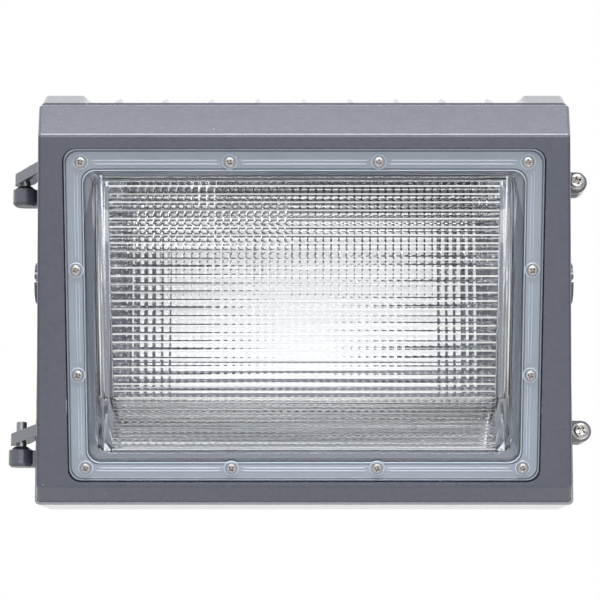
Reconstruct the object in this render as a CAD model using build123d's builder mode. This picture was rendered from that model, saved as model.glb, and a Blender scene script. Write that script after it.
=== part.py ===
"""Wall pack light: a cast housing for the wall, and a hinged slanted door with a prismatic refractor.

Millimetres. X runs to the right, Y towards the wall, Z up. The origin is the centre of the flat
face that lies against the wall, so the light reaches forward to negative Y.
"""

from build123d import *
from math import atan2, cos, hypot, radians, sin, tan
import os

os.makedirs("parts", exist_ok=True)

# ------------------------------------------------------------------ driving dimensions
# castings
casting_wall = 3.5
wall_plate = 4.0            # the plate that lies against the wall
corner_radius = 3.0         # outside corners, seen from the front
edge_radius = 2.2           # edges of the door's front
half_width = 164.0          # the door's back, at the parting plane
housing_depth = 65.0        # wall to the parting plane
seal_gap = 1.2              # between the two castings
seal_inset = 0.3
seal_width = 3.0

# door, seen from the side: top face, brow band, slanted rim, chin
door_top_z = 118.0
door_bottom_z = -132.0
door_side_draft = 4.05      # degrees
brow_reach = 79.3           # parting plane to the brow's back edge
brow_back_drop = 19.0
rim_reach = 96.0            # parting plane to the rim's top edge
rim_top_drop = 40.95
chin_reach = 18.0           # parting plane to the rim's bottom edge
chin_rise = 7.9

# rear housing
housing_margin = 1.3        # the housing stands past the door, on each side
housing_side_draft = 1.0    # degrees
housing_top_z = 119.3       # at the parting plane
housing_bottom_z = -133.4
bottom_draft = 2.0          # degrees
crest_back = 16.0           # the top's crest, in front of the wall
crest_rise = 11.3
back_drop = 5.0             # crest down to the wall's edge
rib_count = 9
rib_margin = 16.8           # from the outermost rib to the raised corner
rib_width = 3.6
rib_bevel = 1.2
rib_rise = 1.4              # a rib above the plain top, behind the front break
rib_height = 2.8            # and at the crest
pad_width = 29.7            # raised corner of the top
pad_front_run = 19.5
pad_rise = 4.65             # a corner pad above the plain top, behind the front break
pad_bevel = 4.5

# lens seat in the slanted rim
rim_side_land = 14.2
rim_top_land = 8.25
rim_bottom_land = 2.9
ring_sink = 2.9             # rim down to the gasket ring
fit_gap = 0.3               # gasket ring in its recess
ring_lip = 1.0
ring_corner = 7.5
ring_side_width = 11.0
ring_top_width = 13.1
ring_bottom_width = 11.9
ring_inner_corner = 8.0
ridge_width = 0.9
ridge_height = 0.4
boss_radius = 5.4
boss_height = 0.6
slip_gap = 0.05             # between pieces that are fixed to each other
opening_gap = 0.7           # the door's window around the dome's root

# refractor
flange_thickness = 2.5
flange_cover = 1.0          # how far the ring wraps outside the flange
lens_wall = 3.0
dome_side_inset = 16.7
dome_top_inset = 15.9
dome_bottom_inset = 17.7
dome_lip = 8.0              # height of the dome at its top edge
fold_rise = 47.5            # lower face: from the bottom root up to the fold
dome_side_draft = 6.0       # degrees
shoulder_radius = 7.0
prism_side_inset = 9.7      # dome side to the prism field
prism_pitch = 4.87          # horizontal rows outside
prism_depth = 1.0           # the V between two rows
prism_notch = 0.34          # its share of a row
prism_crown = 0.2           # a row's round face falls back by this at its edges
prism_crest = 0.05
prism_steps = 3             # facets of a row's round face
flute_pitch = 4.58          # upright flutes inside
flute_depth = 0.45
flute_crest = 0.03
flute_steps = 3             # facets of a flute's round face
flute_clearance = 0.2

# lens screws
lens_screw_radius = 1.45
lens_screw_length = 12.0
lens_head_radius = 2.8
lens_head_height = 1.9
lens_hole_radius = 1.6
lens_boss_radius = 4.2
lens_boss_height = 6.0
row_inset = 8.2
corner_screw_inset = 10.3
side_screw_inset = 6.6
side_screw_pitch = 64.6
side_screw_drop = 3.7
screws_per_row = 4

# hinge
hinge_standoff = 10.5       # door side to the hinge axis
hinge_back = 5.0            # axis behind the parting plane
pin_radius = 3.2
running_gap = 0.05
press_gap = 0.02
barrel_radius = 7.75
barrel_height = 12.4
barrel_cone = 2.3
barrel_neck = 4.3
barrel_floor = 2.4
barrel_web = 9.0
barrel_web_back = 2.0       # web's middle behind the axis
barrel_edge = 1.6
pin_bevel = 0.5
hinge_gap = 0.8
arm_thickness = 7.2
arm_end_radius = 6.6
arm_root_front = 27.0       # in front of the parting plane
arm_root_back = 12.0
arm_drop = 3.0
upper_arm_z = 66.9          # underside of the arm at the pin
lower_arm_z = -96.6
upper_pin_stand = 0.6       # above the arm
lower_pin_stand = 6.0

# closure screws
closure_standoff = 5.4      # door side to the screw axis
closure_upper_z = 66.4
closure_lower_z = -89.1
ear_radius = 6.6
door_ear = 7.4
housing_ear = 8.0
closure_shank = 2.1
closure_clearance = 2.75    # hole in the door's ear
closure_thread = 2.4        # hole in the housing's ear
closure_head_radius = 4.6
closure_head_height = 3.6
lock_washer_radius = 4.4
lock_washer_thickness = 1.2
lock_split = 1.0
flat_washer_radius = 5.1
flat_washer_thickness = 1.0
washer_bore = 2.6
recess_width = 1.1          # arms of the cross recess
recess_length = 4.4
recess_depth = 1.8

# wall fixing and wiring entries
supply_hole_radius = 11.0
supply_hole_z = 45.0
box_hole_spacing = 88.9
box_hole_radius = 2.6
wall_hole_spacing_x = 240.0
wall_hole_spacing_z = 195.0
wall_hole_radius = 3.3
conduit_radius = 10.4
conduit_y = -30.0
conduit_z = 10.0
conduit_boss_radius = 15.0
conduit_boss_length = 8.0
conduit_seat = 0.8          # flat seat proud of the drafted side
plug_head_radius = 13.0
plug_head_height = 2.6
plug_body_length = 10.0
plug_slot_width = 2.4
plug_slot_depth = 1.4
plug_gap = 0.1
conduit_seal_radius = 12.6
conduit_seal_thickness = 1.8

# gear tray and LED board
tray_front_y = -50.0
tray_sheet = 1.2
tray_half_width = 97.0
tray_top_z = 49.3
tray_bottom_z = -57.6
tray_flange = 9.0
tray_corner = 4.0
post_radius = 4.5
post_inset_x = 8.0
post_inset_z = 7.0
board_thickness = 1.6
board_gap = 1.1             # board's edge to the tray screws' heads
board_top_z = 32.0
board_bottom_z = -50.0
chip_size = 3.0
chip_height = 0.7
chip_columns = 12
chip_rows = 6
chip_margin_x = 10.7        # board's edge to the middle of the outer chips
chip_margin_z = 11.0
small_screw_radius = 1.45
small_head_radius = 2.9
small_head_height = 1.8
small_screw_length = 7.0
head_bevel = 0.45           # share of a screw head's height
small_sides = 12            # small fasteners and their holes
boss_sides = 16             # washers and the gasket's bosses
plate_screw_depth = 2.8
plate_hole_depth = 3.0
board_screw_length = 4.0
board_screw_inset = 5.0
grommet_x = -36.0
grommet_z = 40.0
grommet_radius = 5.0
grommet_bore = 2.6
grommet_lip = 1.2

# driver
driver_length = 128.0
driver_height = 40.0
driver_depth = 30.0
driver_z = -28.0
driver_corner = 3.0
driver_cap = 2.0
driver_foot = 11.0
driver_foot_thickness = 2.0
driver_grooves = 4
driver_groove_pitch = 8.0
driver_groove_width = 3.0
driver_groove_depth = 1.5

# terminals
terminal_x = 52.0
terminal_z = 22.0
terminal_width = 33.0
terminal_height = 15.0
terminal_depth = 16.0
terminal_poles = 3
terminal_pitch = 7.0
terminal_foot = 6.0
terminal_well = 6.0
terminal_entry_y = 8.0
terminal_entry_radius = 1.7
terminal_screw_sink = 1.2
terminal_slot = 0.8
terminal_fixing_inset = 2.8
terminal_screw_radius = 1.9
ground_x = -52.0
ground_z = 22.0
ground_boss_radius = 5.0
ground_boss_height = 8.0
ground_washer_radius = 4.6
ground_washer_thickness = 0.8
ground_head_radius = 4.0
ground_head_height = 2.6
ground_shank_radius = 2.0

# ------------------------------------------------------------------ places worked out from them
door_back_y = -housing_depth - seal_gap / 2
housing_front_y = -housing_depth + seal_gap / 2

rim_top = (-housing_depth - rim_reach, door_top_z - rim_top_drop)
rim_bottom = (-housing_depth - chin_reach, door_bottom_z + chin_rise)
rim_length = hypot(rim_top[0] - rim_bottom[0], rim_top[1] - rim_bottom[1])
front_tilt = atan2(rim_bottom[0] - rim_top[0], rim_top[1] - rim_bottom[1])
rim_half_width = half_width - rim_reach * tan(radians(door_side_draft))

# the ring's channel, and the flange that it holds
ring_half_width = rim_half_width - rim_side_land
ring_height = rim_length - rim_top_land - rim_bottom_land
flange_half_width = ring_half_width - flange_cover
flange_height = ring_height - 2 * flange_cover
ring_thickness = 2 * ring_lip + flange_thickness
recess_total = ring_sink + ring_thickness

# the rim plane, centred on the lens: local x across, local y up the slope, z outwards
seat_down = rim_top_land + ring_height / 2
seat = Plane(
    origin=(0, rim_top[0] + seat_down * sin(front_tilt), rim_top[1] - seat_down * cos(front_tilt)),
    x_dir=(1, 0, 0),
    z_dir=(0, -cos(front_tilt), -sin(front_tilt)),
)
ring_front = seat.offset(-ring_sink)
flange_front = ring_front.offset(-ring_lip)
flange_back = flange_front.offset(-flange_thickness)
recess_floor = flange_back.offset(-ring_lip)
# the same place seen from the side (x up the slope, y outwards) and from above the slope
dome_side = Plane(origin=ring_front.origin, x_dir=seat.y_dir, z_dir=(1, 0, 0))
dome_plan = Plane(origin=ring_front.origin, x_dir=(1, 0, 0), z_dir=-seat.y_dir)

# the twelve lens screws: a row above, a row below, two on each side
row_up = ring_height / 2 - row_inset
corner_x = ring_half_width - corner_screw_inset
row_step = 2 * corner_x / (screws_per_row - 1)
side_x = ring_half_width - side_screw_inset
row_xs = [-corner_x + row_step * i for i in range(screws_per_row)]
side_vs = [side_screw_pitch / 2 - side_screw_drop, -side_screw_pitch / 2 - side_screw_drop]
lens_screw_points = [(x, v) for v in (row_up, -row_up) for x in row_xs]
lens_screw_points += [(x, v) for x in (-side_x, side_x) for v in side_vs]

hinge_x = -half_width - hinge_standoff
hinge_y = -housing_depth + hinge_back
closure_x = half_width + closure_standoff
closure_zs = [closure_upper_z, closure_lower_z]
housing_half = half_width + housing_margin
post_points = [
    (x, z)
    for x in (-tray_half_width + post_inset_x, tray_half_width - post_inset_x)
    for z in (tray_bottom_z + post_inset_z, tray_top_z - post_inset_z)
]
tray_back_y = tray_front_y + tray_sheet
inner_face_y = -wall_plate
board_half_width = tray_half_width - post_inset_x - small_head_radius - board_gap
board_screw_points = [
    (x, z)
    for x in (-board_half_width + board_screw_inset, 0, board_half_width - board_screw_inset)
    for z in (board_bottom_z + board_screw_inset, board_top_z - board_screw_inset)
]
driver_screw_x = driver_length / 2 + driver_cap + driver_foot / 2
driver_screw_points = [(-driver_screw_x, driver_z), (driver_screw_x, driver_z)]
terminal_fixing_x = terminal_width / 2 - terminal_fixing_inset
terminal_fixing_points = [
    (terminal_x - terminal_fixing_x, terminal_z),
    (terminal_x + terminal_fixing_x, terminal_z),
]
plate_screw_points = driver_screw_points + terminal_fixing_points


def facing_front(y):
    """An upright plane at depth y: local x across, local y up, extruding towards the front."""
    return Plane(origin=(0, y, 0), x_dir=(1, 0, 0), z_dir=(0, -1, 0))


def door_profile(back_y):
    """The door seen from the side, its top and chin carried on to the depth back_y."""
    run = back_y + housing_depth
    top_slope = brow_back_drop / brow_reach
    chin_slope = chin_rise / chin_reach
    return [
        (back_y, door_top_z + run * top_slope),
        (-housing_depth - brow_reach, door_top_z - brow_back_drop),
        rim_top,
        rim_bottom,
        (back_y, door_bottom_z - run * chin_slope),
    ]


def plan_wedge(front_y, front_half, back_y, back_half):
    """A symmetric plan whose half width changes evenly from the front to the back."""
    return [(-front_half, front_y), (front_half, front_y), (back_half, back_y), (-back_half, back_y)]


def door_half_width(y):
    return half_width + (y + housing_depth) * tan(radians(door_side_draft))


def housing_half_width(y):
    return housing_half - (y + housing_depth) * tan(radians(housing_side_draft))


full_height = 2 * (door_top_z - door_bottom_z)
margin = 1.0                # how far a cutting shape runs past what it cuts


def small_round(radius):
    """A small fastener's outline: many-sided, inside the circle of that radius."""
    return RegularPolygon(radius, small_sides)


def small_hole(radius):
    """The hole for one: many-sided, around the circle of that radius."""
    return RegularPolygon(radius, small_sides, major_radius=False)


# the dome, in the side view: x up the slope, y outwards from the ring's front
dome_half_width = ring_half_width - dome_side_inset
dome_top = ring_height / 2 - dome_top_inset
dome_bottom = -ring_height / 2 + dome_bottom_inset
dome_depth = dome_lip + (dome_top - dome_bottom - fold_rise) * tan(front_tilt)
dome_root = -ring_lip - flange_thickness
dome_middle = (dome_top + dome_bottom) / 2
draft_slope = tan(radians(dome_side_draft))
lower_slope = dome_depth / fold_rise


def dome_outline(front_inset, top_inset, root):
    """The dome from the side: the upright front and the lower face drawn in by front_inset."""
    shift = front_inset * hypot(1, lower_slope)
    front_start = dome_lip + dome_top * tan(front_tilt) - front_inset / cos(front_tilt)
    fold_v = (front_start + dome_bottom * lower_slope + shift) / (lower_slope + tan(front_tilt))
    top_v = dome_top - top_inset
    return [
        (top_v, root),
        (top_v, front_start - top_v * tan(front_tilt)),
        (fold_v, front_start - fold_v * tan(front_tilt)),
        (dome_bottom + (root + shift) / lower_slope, root),
    ]


def draft_outline(half, root):
    """A width that narrows outwards by the dome's draft, seen along the slope."""
    reach = dome_depth + margin
    return [
        (-half + root * draft_slope, root),
        (-half + reach * draft_slope, reach),
        (half - reach * draft_slope, reach),
        (half - root * draft_slope, root),
    ]


def prism_band(start, end):
    """Rows from start to end on the dome's outline: round faces, with a V between each two."""
    length = hypot(end[0] - start[0], end[1] - start[1])
    count = round(length / prism_pitch)
    along = Vector(end[0] - start[0], end[1] - start[1]).normalized()
    out = Vector(along.Y, -along.X)
    begin = Vector(*start)
    outline = [begin + out * margin]
    for i in range(count):
        if i > 0:
            outline.append(begin + along * (length * i / count) - out * prism_depth)
        for k in range(prism_steps + 1):
            share = prism_notch / 2 + (1 - prism_notch) * k / prism_steps
            fall = prism_crest + prism_crown * (2 * k / prism_steps - 1) ** 2
            outline.append(begin + along * (length * (i + share) / count) - out * fall)
    outline.append(begin + along * length + out * margin)
    return [(point.X, point.Y) for point in outline]


# ------------------------------------------------------------------ rear housing
crest_z = housing_top_z + crest_rise
crest_run = -crest_back - housing_front_y
housing_bottom_back_z = housing_bottom_z + housing_depth * tan(radians(bottom_draft))
inner_pad_x = housing_half - pad_width
rib_pitch = 2 * (inner_pad_x - rib_margin) / (rib_count - 1)
hollow_half = housing_half_width(0) - casting_wall
entry_half = housing_half_width(conduit_y)
barrel_tops = [upper_arm_z - hinge_gap, lower_arm_z - hinge_gap]


def housing_profile(inset, front_y, back_y):
    """The housing seen from the side, drawn in by the same amount above and below."""
    return [
        (back_y, housing_bottom_back_z + inset),
        (front_y, housing_bottom_z + inset),
        (front_y, housing_top_z - inset),
        (-crest_back, crest_z - inset),
        (back_y, crest_z - back_drop - inset),
    ]


def top_profile(rise_at_break, rise_at_crest):
    """A shape on the sloping top, seen from the side: how far it stands above the plain top."""
    break_z = housing_top_z + pad_front_run * crest_rise / crest_run
    return [
        (housing_front_y, housing_top_z),
        (housing_front_y + pad_front_run, break_z + rise_at_break),
        (-crest_back, crest_z + rise_at_crest),
        (0, crest_z - back_drop + rise_at_crest),
        (0, 0),
        (housing_front_y, 0),
    ]


with BuildPart() as rib:
    with BuildSketch(Plane.YZ):
        Polygon(*top_profile(rib_rise, rib_height), align=None)
    extrude(amount=rib_width / 2, both=True)
    rib_tops = rib.edges().filter_by(
        lambda e: e.center().Z > housing_top_z and abs(e.tangent_at(0.5).X) < 0.5
    )
    chamfer(rib_tops, rib_bevel)

with BuildPart() as rear_housing:
    with BuildSketch(Plane.YZ):
        Polygon(*housing_profile(0, housing_front_y, 0), align=None)
    extrude(amount=housing_half, both=True)
    # raised corners of the top, bevelled at their inner ends
    for side in (-1, 1):
        bevel_plane = Plane.YZ.offset(side * (inner_pad_x + pad_bevel))
        with BuildSketch(bevel_plane):
            Polygon(*top_profile(pad_rise, rib_height), align=None)
        extrude(amount=side * (pad_width - pad_bevel))
        with BuildSketch(bevel_plane):
            Polygon(*top_profile(pad_rise, rib_height), align=None)
        with BuildSketch(Plane.YZ.offset(side * inner_pad_x)):
            Polygon(*top_profile(0, 0), align=None)
        loft()
    # the sides draw in towards the wall
    with BuildSketch(Plane.XY):
        Polygon(*plan_wedge(housing_front_y, housing_half, 0, housing_half_width(0)), align=None)
    extrude(amount=full_height, both=True, mode=Mode.INTERSECT)
    outer_corners = rear_housing.edges().filter_by(
        lambda e: abs(e.center().X) > hollow_half and abs(e.tangent_at(0.5).Y) > 0.5
    )
    fillet(outer_corners, corner_radius)
    # ribs along the top
    with GridLocations(rib_pitch, 0, rib_count, 1):
        add(rib.part)
    # flat seats on both sides for the conduit plugs
    with BuildSketch(Plane.YZ):
        with Locations((conduit_y, conduit_z)):
            Circle(conduit_boss_radius)
    extrude(amount=entry_half + conduit_seat, both=True)
    # the hollow, open to the front
    with BuildSketch(Plane.YZ):
        Polygon(*housing_profile(casting_wall, housing_front_y - margin, inner_face_y), align=None)
    extrude(amount=hollow_half, both=True, mode=Mode.SUBTRACT)
    # thick bosses inside the side entries
    for side in (-1, 1):
        with BuildSketch(Plane.YZ.offset(side * hollow_half)):
            with Locations((conduit_y, conduit_z)):
                Rectangle(2 * conduit_boss_radius, 2 * conduit_boss_radius)
        extrude(amount=-side * conduit_boss_length)
    # posts for the gear tray, and the boss for the ground screw
    with BuildSketch(facing_front(inner_face_y)):
        with Locations(*post_points):
            small_round(post_radius)
    extrude(amount=inner_face_y - tray_back_y)
    with BuildSketch(facing_front(inner_face_y)):
        with Locations((ground_x, ground_z)):
            small_round(ground_boss_radius)
    extrude(amount=ground_boss_height)
    # hinge barrels with a cone on top, each on a web from the side
    for barrel_top in barrel_tops:
        barrel_bottom = barrel_top - barrel_height
        with BuildSketch(Plane.XZ.offset(-hinge_y)):
            Polygon(
                (hinge_x, barrel_top),
                (hinge_x + barrel_neck, barrel_top),
                (hinge_x + barrel_radius, barrel_top - barrel_cone),
                (hinge_x + barrel_radius, barrel_bottom + barrel_edge),
                (hinge_x + barrel_radius - barrel_edge, barrel_bottom),
                (hinge_x, barrel_bottom),
                align=None,
            )
        revolve(axis=Axis((hinge_x, hinge_y, 0), (0, 0, 1)))
        with BuildSketch(Plane.XY.offset(barrel_bottom)):
            with Locations(((hinge_x - hollow_half) / 2, hinge_y + barrel_web_back)):
                Rectangle(-hollow_half - hinge_x, barrel_web)
        extrude(amount=barrel_height - barrel_cone)
        with BuildSketch(Plane.XY.offset(barrel_top)):
            with Locations((hinge_x, hinge_y)):
                Circle(pin_radius + press_gap)
        extrude(amount=-(barrel_height - barrel_floor), mode=Mode.SUBTRACT)
    # ears that the closure screws thread into
    for closure_z in closure_zs:
        with BuildSketch(facing_front(housing_front_y)):
            with Locations((closure_x, closure_z)):
                Circle(ear_radius)
            with Locations(((hollow_half + closure_x) / 2, closure_z)):
                Rectangle(closure_x - hollow_half, 2 * ear_radius)
        extrude(amount=-housing_ear)
        with BuildSketch(facing_front(housing_front_y)):
            with Locations((closure_x, closure_z)):
                small_hole(closure_thread)
        extrude(amount=-housing_ear, mode=Mode.SUBTRACT)
    # holes in the wall plate: supply cable, junction box, wall screws
    with BuildSketch(facing_front(0)):
        with Locations((0, supply_hole_z)):
            Circle(supply_hole_radius)
            with GridLocations(box_hole_spacing, 0, 2, 1):
                Circle(box_hole_radius)
        with GridLocations(wall_hole_spacing_x, wall_hole_spacing_z, 2, 2):
            Circle(wall_hole_radius)
    extrude(amount=wall_plate, mode=Mode.SUBTRACT)
    # conduit entries in both sides
    with BuildSketch(Plane.YZ):
        with Locations((conduit_y, conduit_z)):
            Circle(conduit_radius)
    extrude(amount=housing_half + margin, both=True, mode=Mode.SUBTRACT)
    # blind holes for the screws of the tray, the ground, the driver and the terminal block
    with BuildSketch(facing_front(tray_back_y)):
        with Locations(*post_points):
            small_hole(small_screw_radius + slip_gap)
    extrude(amount=-small_screw_length, mode=Mode.SUBTRACT)
    with BuildSketch(facing_front(inner_face_y - ground_boss_height)):
        with Locations((ground_x, ground_z)):
            small_hole(ground_shank_radius + slip_gap)
    extrude(amount=-ground_boss_height, mode=Mode.SUBTRACT)
    with BuildSketch(facing_front(inner_face_y)):
        with Locations(*plate_screw_points):
            small_hole(small_screw_radius + slip_gap)
    extrude(amount=-plate_hole_depth, mode=Mode.SUBTRACT)
rear_housing.part.label = "rear_housing"
export_step(rear_housing.part, "parts/rear_housing.step")

# ------------------------------------------------------------------ seal between the castings
seal_half_width = half_width - seal_inset
seal_top = min(housing_top_z, door_top_z) - seal_inset
seal_bottom = max(housing_bottom_z, door_bottom_z) + seal_inset
with BuildPart() as door_seal:
    with BuildSketch(facing_front(housing_front_y)):
        with Locations((0, (seal_top + seal_bottom) / 2)):
            RectangleRounded(2 * seal_half_width, seal_top - seal_bottom, corner_radius)
            Rectangle(
                2 * (seal_half_width - seal_width),
                seal_top - seal_bottom - 2 * seal_width,
                mode=Mode.SUBTRACT,
            )
    extrude(amount=seal_gap - slip_gap)
door_seal.part.label = "door_seal"
export_step(door_seal.part, "parts/door_seal.step")

# ------------------------------------------------------------------ door
with BuildPart() as lens_pan:
    # what stays of the casting behind the lens seat: a pan, and a boss for each lens screw
    with BuildSketch(seat):
        RectangleRounded(
            2 * (ring_half_width + fit_gap + casting_wall),
            ring_height + 2 * (fit_gap + casting_wall),
            ring_corner + casting_wall,
        )
    extrude(amount=-(recess_total + casting_wall))
    with BuildSketch(recess_floor.offset(-casting_wall)):
        with Locations(*lens_screw_points):
            Rectangle(2 * lens_boss_radius, 2 * lens_boss_radius)
    extrude(amount=-lens_boss_height)

wedge_front = rim_top[0] - margin
with BuildPart() as door_hollow:
    with BuildSketch(Plane.YZ):
        Polygon(*door_profile(door_back_y + casting_wall + margin), align=None)
        offset(amount=-casting_wall, kind=Kind.INTERSECTION)
    extrude(amount=half_width, both=True)
    with BuildSketch(Plane.XY):
        Polygon(
            *plan_wedge(
                wedge_front,
                door_half_width(wedge_front) - casting_wall,
                door_back_y + margin,
                door_half_width(door_back_y + margin) - casting_wall,
            ),
            align=None,
        )
    extrude(amount=full_height, both=True, mode=Mode.INTERSECT)
    add(lens_pan.part, mode=Mode.SUBTRACT)


def hinge_arm(under_z):
    """An arm from the door's side to the pin: a wedge in plan, dropping towards its round end."""
    outer_x = hinge_x - arm_end_radius
    inner_x = -door_half_width(door_back_y - arm_root_front) + margin
    with BuildPart() as arm:
        with BuildSketch(facing_front(hinge_y + arm_end_radius)):
            Polygon(
                (outer_x, under_z),
                (inner_x, under_z + arm_drop),
                (inner_x, under_z + arm_drop + arm_thickness),
                (outer_x, under_z + arm_thickness),
                align=None,
            )
        extrude(amount=hinge_y + arm_end_radius - door_back_y + arm_root_front)
        with BuildSketch(Plane.XY.offset(under_z)):
            with Locations((hinge_x, hinge_y)):
                Circle(arm_end_radius)
            with Locations((inner_x - margin / 2, door_back_y - (arm_root_front + arm_root_back) / 2)):
                Rectangle(margin, arm_root_front - arm_root_back)
            make_hull()
        extrude(amount=arm_drop + arm_thickness, mode=Mode.INTERSECT)
    return arm.part


arms = [hinge_arm(upper_arm_z), hinge_arm(lower_arm_z)]

with BuildPart() as door_frame:
    with BuildSketch(Plane.YZ):
        Polygon(*door_profile(door_back_y), align=None)
    extrude(amount=half_width, both=True)
    with BuildSketch(Plane.XY):
        Polygon(
            *plan_wedge(
                wedge_front,
                door_half_width(wedge_front),
                door_back_y,
                door_half_width(door_back_y),
            ),
            align=None,
        )
    extrude(amount=full_height, both=True, mode=Mode.INTERSECT)
    front_edges = door_frame.edges().filter_by(lambda e: e.center().Y < door_back_y - margin)
    fillet(front_edges, edge_radius)
    add(door_hollow.part, mode=Mode.SUBTRACT)
    # the recess for the gasket ring, and the window behind the dome
    with BuildSketch(seat.offset(margin)):
        RectangleRounded(
            2 * (ring_half_width + fit_gap), ring_height + 2 * fit_gap, ring_corner + fit_gap
        )
    extrude(amount=-(recess_total + margin), mode=Mode.SUBTRACT)
    with BuildSketch(recess_floor):
        with Locations((0, dome_middle)):
            RectangleRounded(
                2 * (dome_half_width + opening_gap),
                dome_top - dome_bottom + 2 * opening_gap,
                shoulder_radius,
            )
    extrude(amount=-(casting_wall + lens_boss_height + margin), mode=Mode.SUBTRACT)
    with BuildSketch(recess_floor):
        with Locations(*lens_screw_points):
            small_hole(lens_screw_radius + slip_gap)
    extrude(amount=-(lens_screw_length - ring_thickness), mode=Mode.SUBTRACT)
    # ears for the closure screws
    for closure_z in closure_zs:
        with BuildSketch(facing_front(door_back_y)):
            with Locations((closure_x, closure_z)):
                Circle(ear_radius)
            with Locations(((half_width - casting_wall + closure_x) / 2, closure_z)):
                Rectangle(closure_x - half_width + casting_wall, 2 * ear_radius)
        extrude(amount=door_ear)
        with BuildSketch(facing_front(door_back_y)):
            with Locations((closure_x, closure_z)):
                small_hole(closure_clearance)
        extrude(amount=door_ear, mode=Mode.SUBTRACT)
    # hinge arms, bored for the pins
    add(arms)
    with BuildSketch(Plane.XY.offset(lower_arm_z)):
        with Locations((hinge_x, hinge_y)):
            Circle(pin_radius + running_gap)
    extrude(amount=upper_arm_z - lower_arm_z + arm_thickness + arm_drop, mode=Mode.SUBTRACT)
door_frame.part.label = "door_frame"
export_step(door_frame.part, "parts/door_frame.step")

# ------------------------------------------------------------------ gasket ring of the lens
ring_opening_middle = (ring_bottom_width - ring_top_width) / 2
ring_opening_height = ring_height - ring_top_width - ring_bottom_width
with BuildPart() as lens_gasket:
    with BuildSketch(ring_front):
        RectangleRounded(2 * ring_half_width, ring_height, ring_corner)
    extrude(amount=-ring_thickness)
    with BuildSketch(ring_front):
        with Locations((0, ring_opening_middle)):
            RectangleRounded(
                2 * (ring_half_width - ring_side_width), ring_opening_height, ring_inner_corner
            )
    extrude(amount=-ring_thickness, mode=Mode.SUBTRACT)
    # two raised lines follow the ring, and stop at a round boss at each screw
    for share in (1 / 3, 2 / 3):
        line_width = 2 * (ring_half_width - ring_side_width * share)
        line_height = ring_height - (ring_top_width + ring_bottom_width) * share
        with BuildSketch(ring_front):
            with Locations((0, ring_opening_middle * share)):
                RectangleRounded(line_width + ridge_width, line_height + ridge_width, ring_inner_corner)
                RectangleRounded(
                    line_width - ridge_width,
                    line_height - ridge_width,
                    ring_inner_corner - ridge_width,
                    mode=Mode.SUBTRACT,
                )
        extrude(amount=ridge_height)
    with BuildSketch(ring_front):
        with Locations(*lens_screw_points):
            RegularPolygon(boss_radius, boss_sides)
    extrude(amount=boss_height)
    with BuildSketch(ring_front):
        with Locations(*lens_screw_points):
            RegularPolygon(boss_radius, boss_sides)
    extrude(amount=-ring_lip)
    # the channel that the flange sits in, and the screw holes
    with BuildSketch(flange_front):
        RectangleRounded(
            2 * (flange_half_width + slip_gap), flange_height + 2 * slip_gap, ring_corner - flange_cover
        )
    extrude(amount=-flange_thickness, mode=Mode.SUBTRACT)
    with BuildSketch(ring_front.offset(boss_height)):
        with Locations(*lens_screw_points):
            small_hole(lens_hole_radius)
    extrude(amount=-(boss_height + ring_thickness), mode=Mode.SUBTRACT)
lens_gasket.part.label = "lens_gasket"
export_step(lens_gasket.part, "parts/lens_gasket.step")

# ------------------------------------------------------------------ refractor
outer_face = dome_outline(0, 0, 0)
prism_half_width = dome_half_width - prism_side_inset

with BuildPart() as prism_rows:
    # grooves outside, level across the front and down the lower face
    with BuildSketch(dome_side):
        Polygon(*prism_band(outer_face[1], outer_face[2]), align=None)
    extrude(amount=dome_half_width, both=True)
    with BuildSketch(dome_side):
        Polygon(*prism_band(outer_face[2], outer_face[3]), align=None)
    extrude(amount=dome_half_width, both=True)
    with BuildSketch(dome_plan):
        Polygon(*draft_outline(prism_half_width, dome_root), align=None)
    extrude(amount=full_height, both=True, mode=Mode.INTERSECT)

flute_count = int(2 * (prism_half_width - dome_depth * draft_slope) / flute_pitch)
with BuildPart() as flutes:
    # upright flutes inside, straight down the front and on down the lower face
    for i in range(flute_steps * flute_count + 1):
        with BuildSketch(dome_side.offset((i / flute_steps - flute_count / 2) * flute_pitch)):
            cut = flute_depth * (2 * (i % flute_steps) / flute_steps - 1) ** 2 - flute_crest
            Polygon(
                *dome_outline(lens_wall - cut, lens_wall + flute_clearance, lens_wall), align=None
            )
    loft(ruled=True)

with BuildPart() as refractor_lens:
    # a wedge whose front stands upright, with drafted sides and round shoulders
    with BuildSketch(dome_side):
        Polygon(*dome_outline(0, 0, dome_root), align=None)
    extrude(amount=flange_half_width, both=True)
    with BuildSketch(dome_plan):
        Polygon(*draft_outline(dome_half_width, dome_root), align=None)
    extrude(amount=full_height, both=True, mode=Mode.INTERSECT)
    shoulders = refractor_lens.edges().filter_by(
        lambda e: abs(e.center().X) > prism_half_width - dome_depth * draft_slope
        and dome_plan.to_local_coords(e.center()).Y > 0
    )
    fillet(shoulders, shoulder_radius)
    root_face = refractor_lens.faces().sort_by(Axis(ring_front.origin, seat.z_dir))[0]
    offset(amount=-lens_wall, openings=root_face)
    # the flange around the root
    with BuildSketch(flange_back):
        RectangleRounded(2 * flange_half_width, flange_height, ring_corner - flange_cover)
        with Locations((0, dome_middle)):
            Rectangle(
                2 * dome_half_width - lens_wall, dome_top - dome_bottom - lens_wall, mode=Mode.SUBTRACT
            )
    extrude(amount=flange_thickness)
    add(prism_rows.part, mode=Mode.SUBTRACT)
    add(flutes.part, mode=Mode.SUBTRACT)
    with BuildSketch(flange_front):
        with Locations(*lens_screw_points):
            small_hole(lens_hole_radius)
    extrude(amount=-flange_thickness, mode=Mode.SUBTRACT)
refractor_lens.part.label = "refractor_lens"
export_step(refractor_lens.part, "parts/refractor_lens.step")


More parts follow.
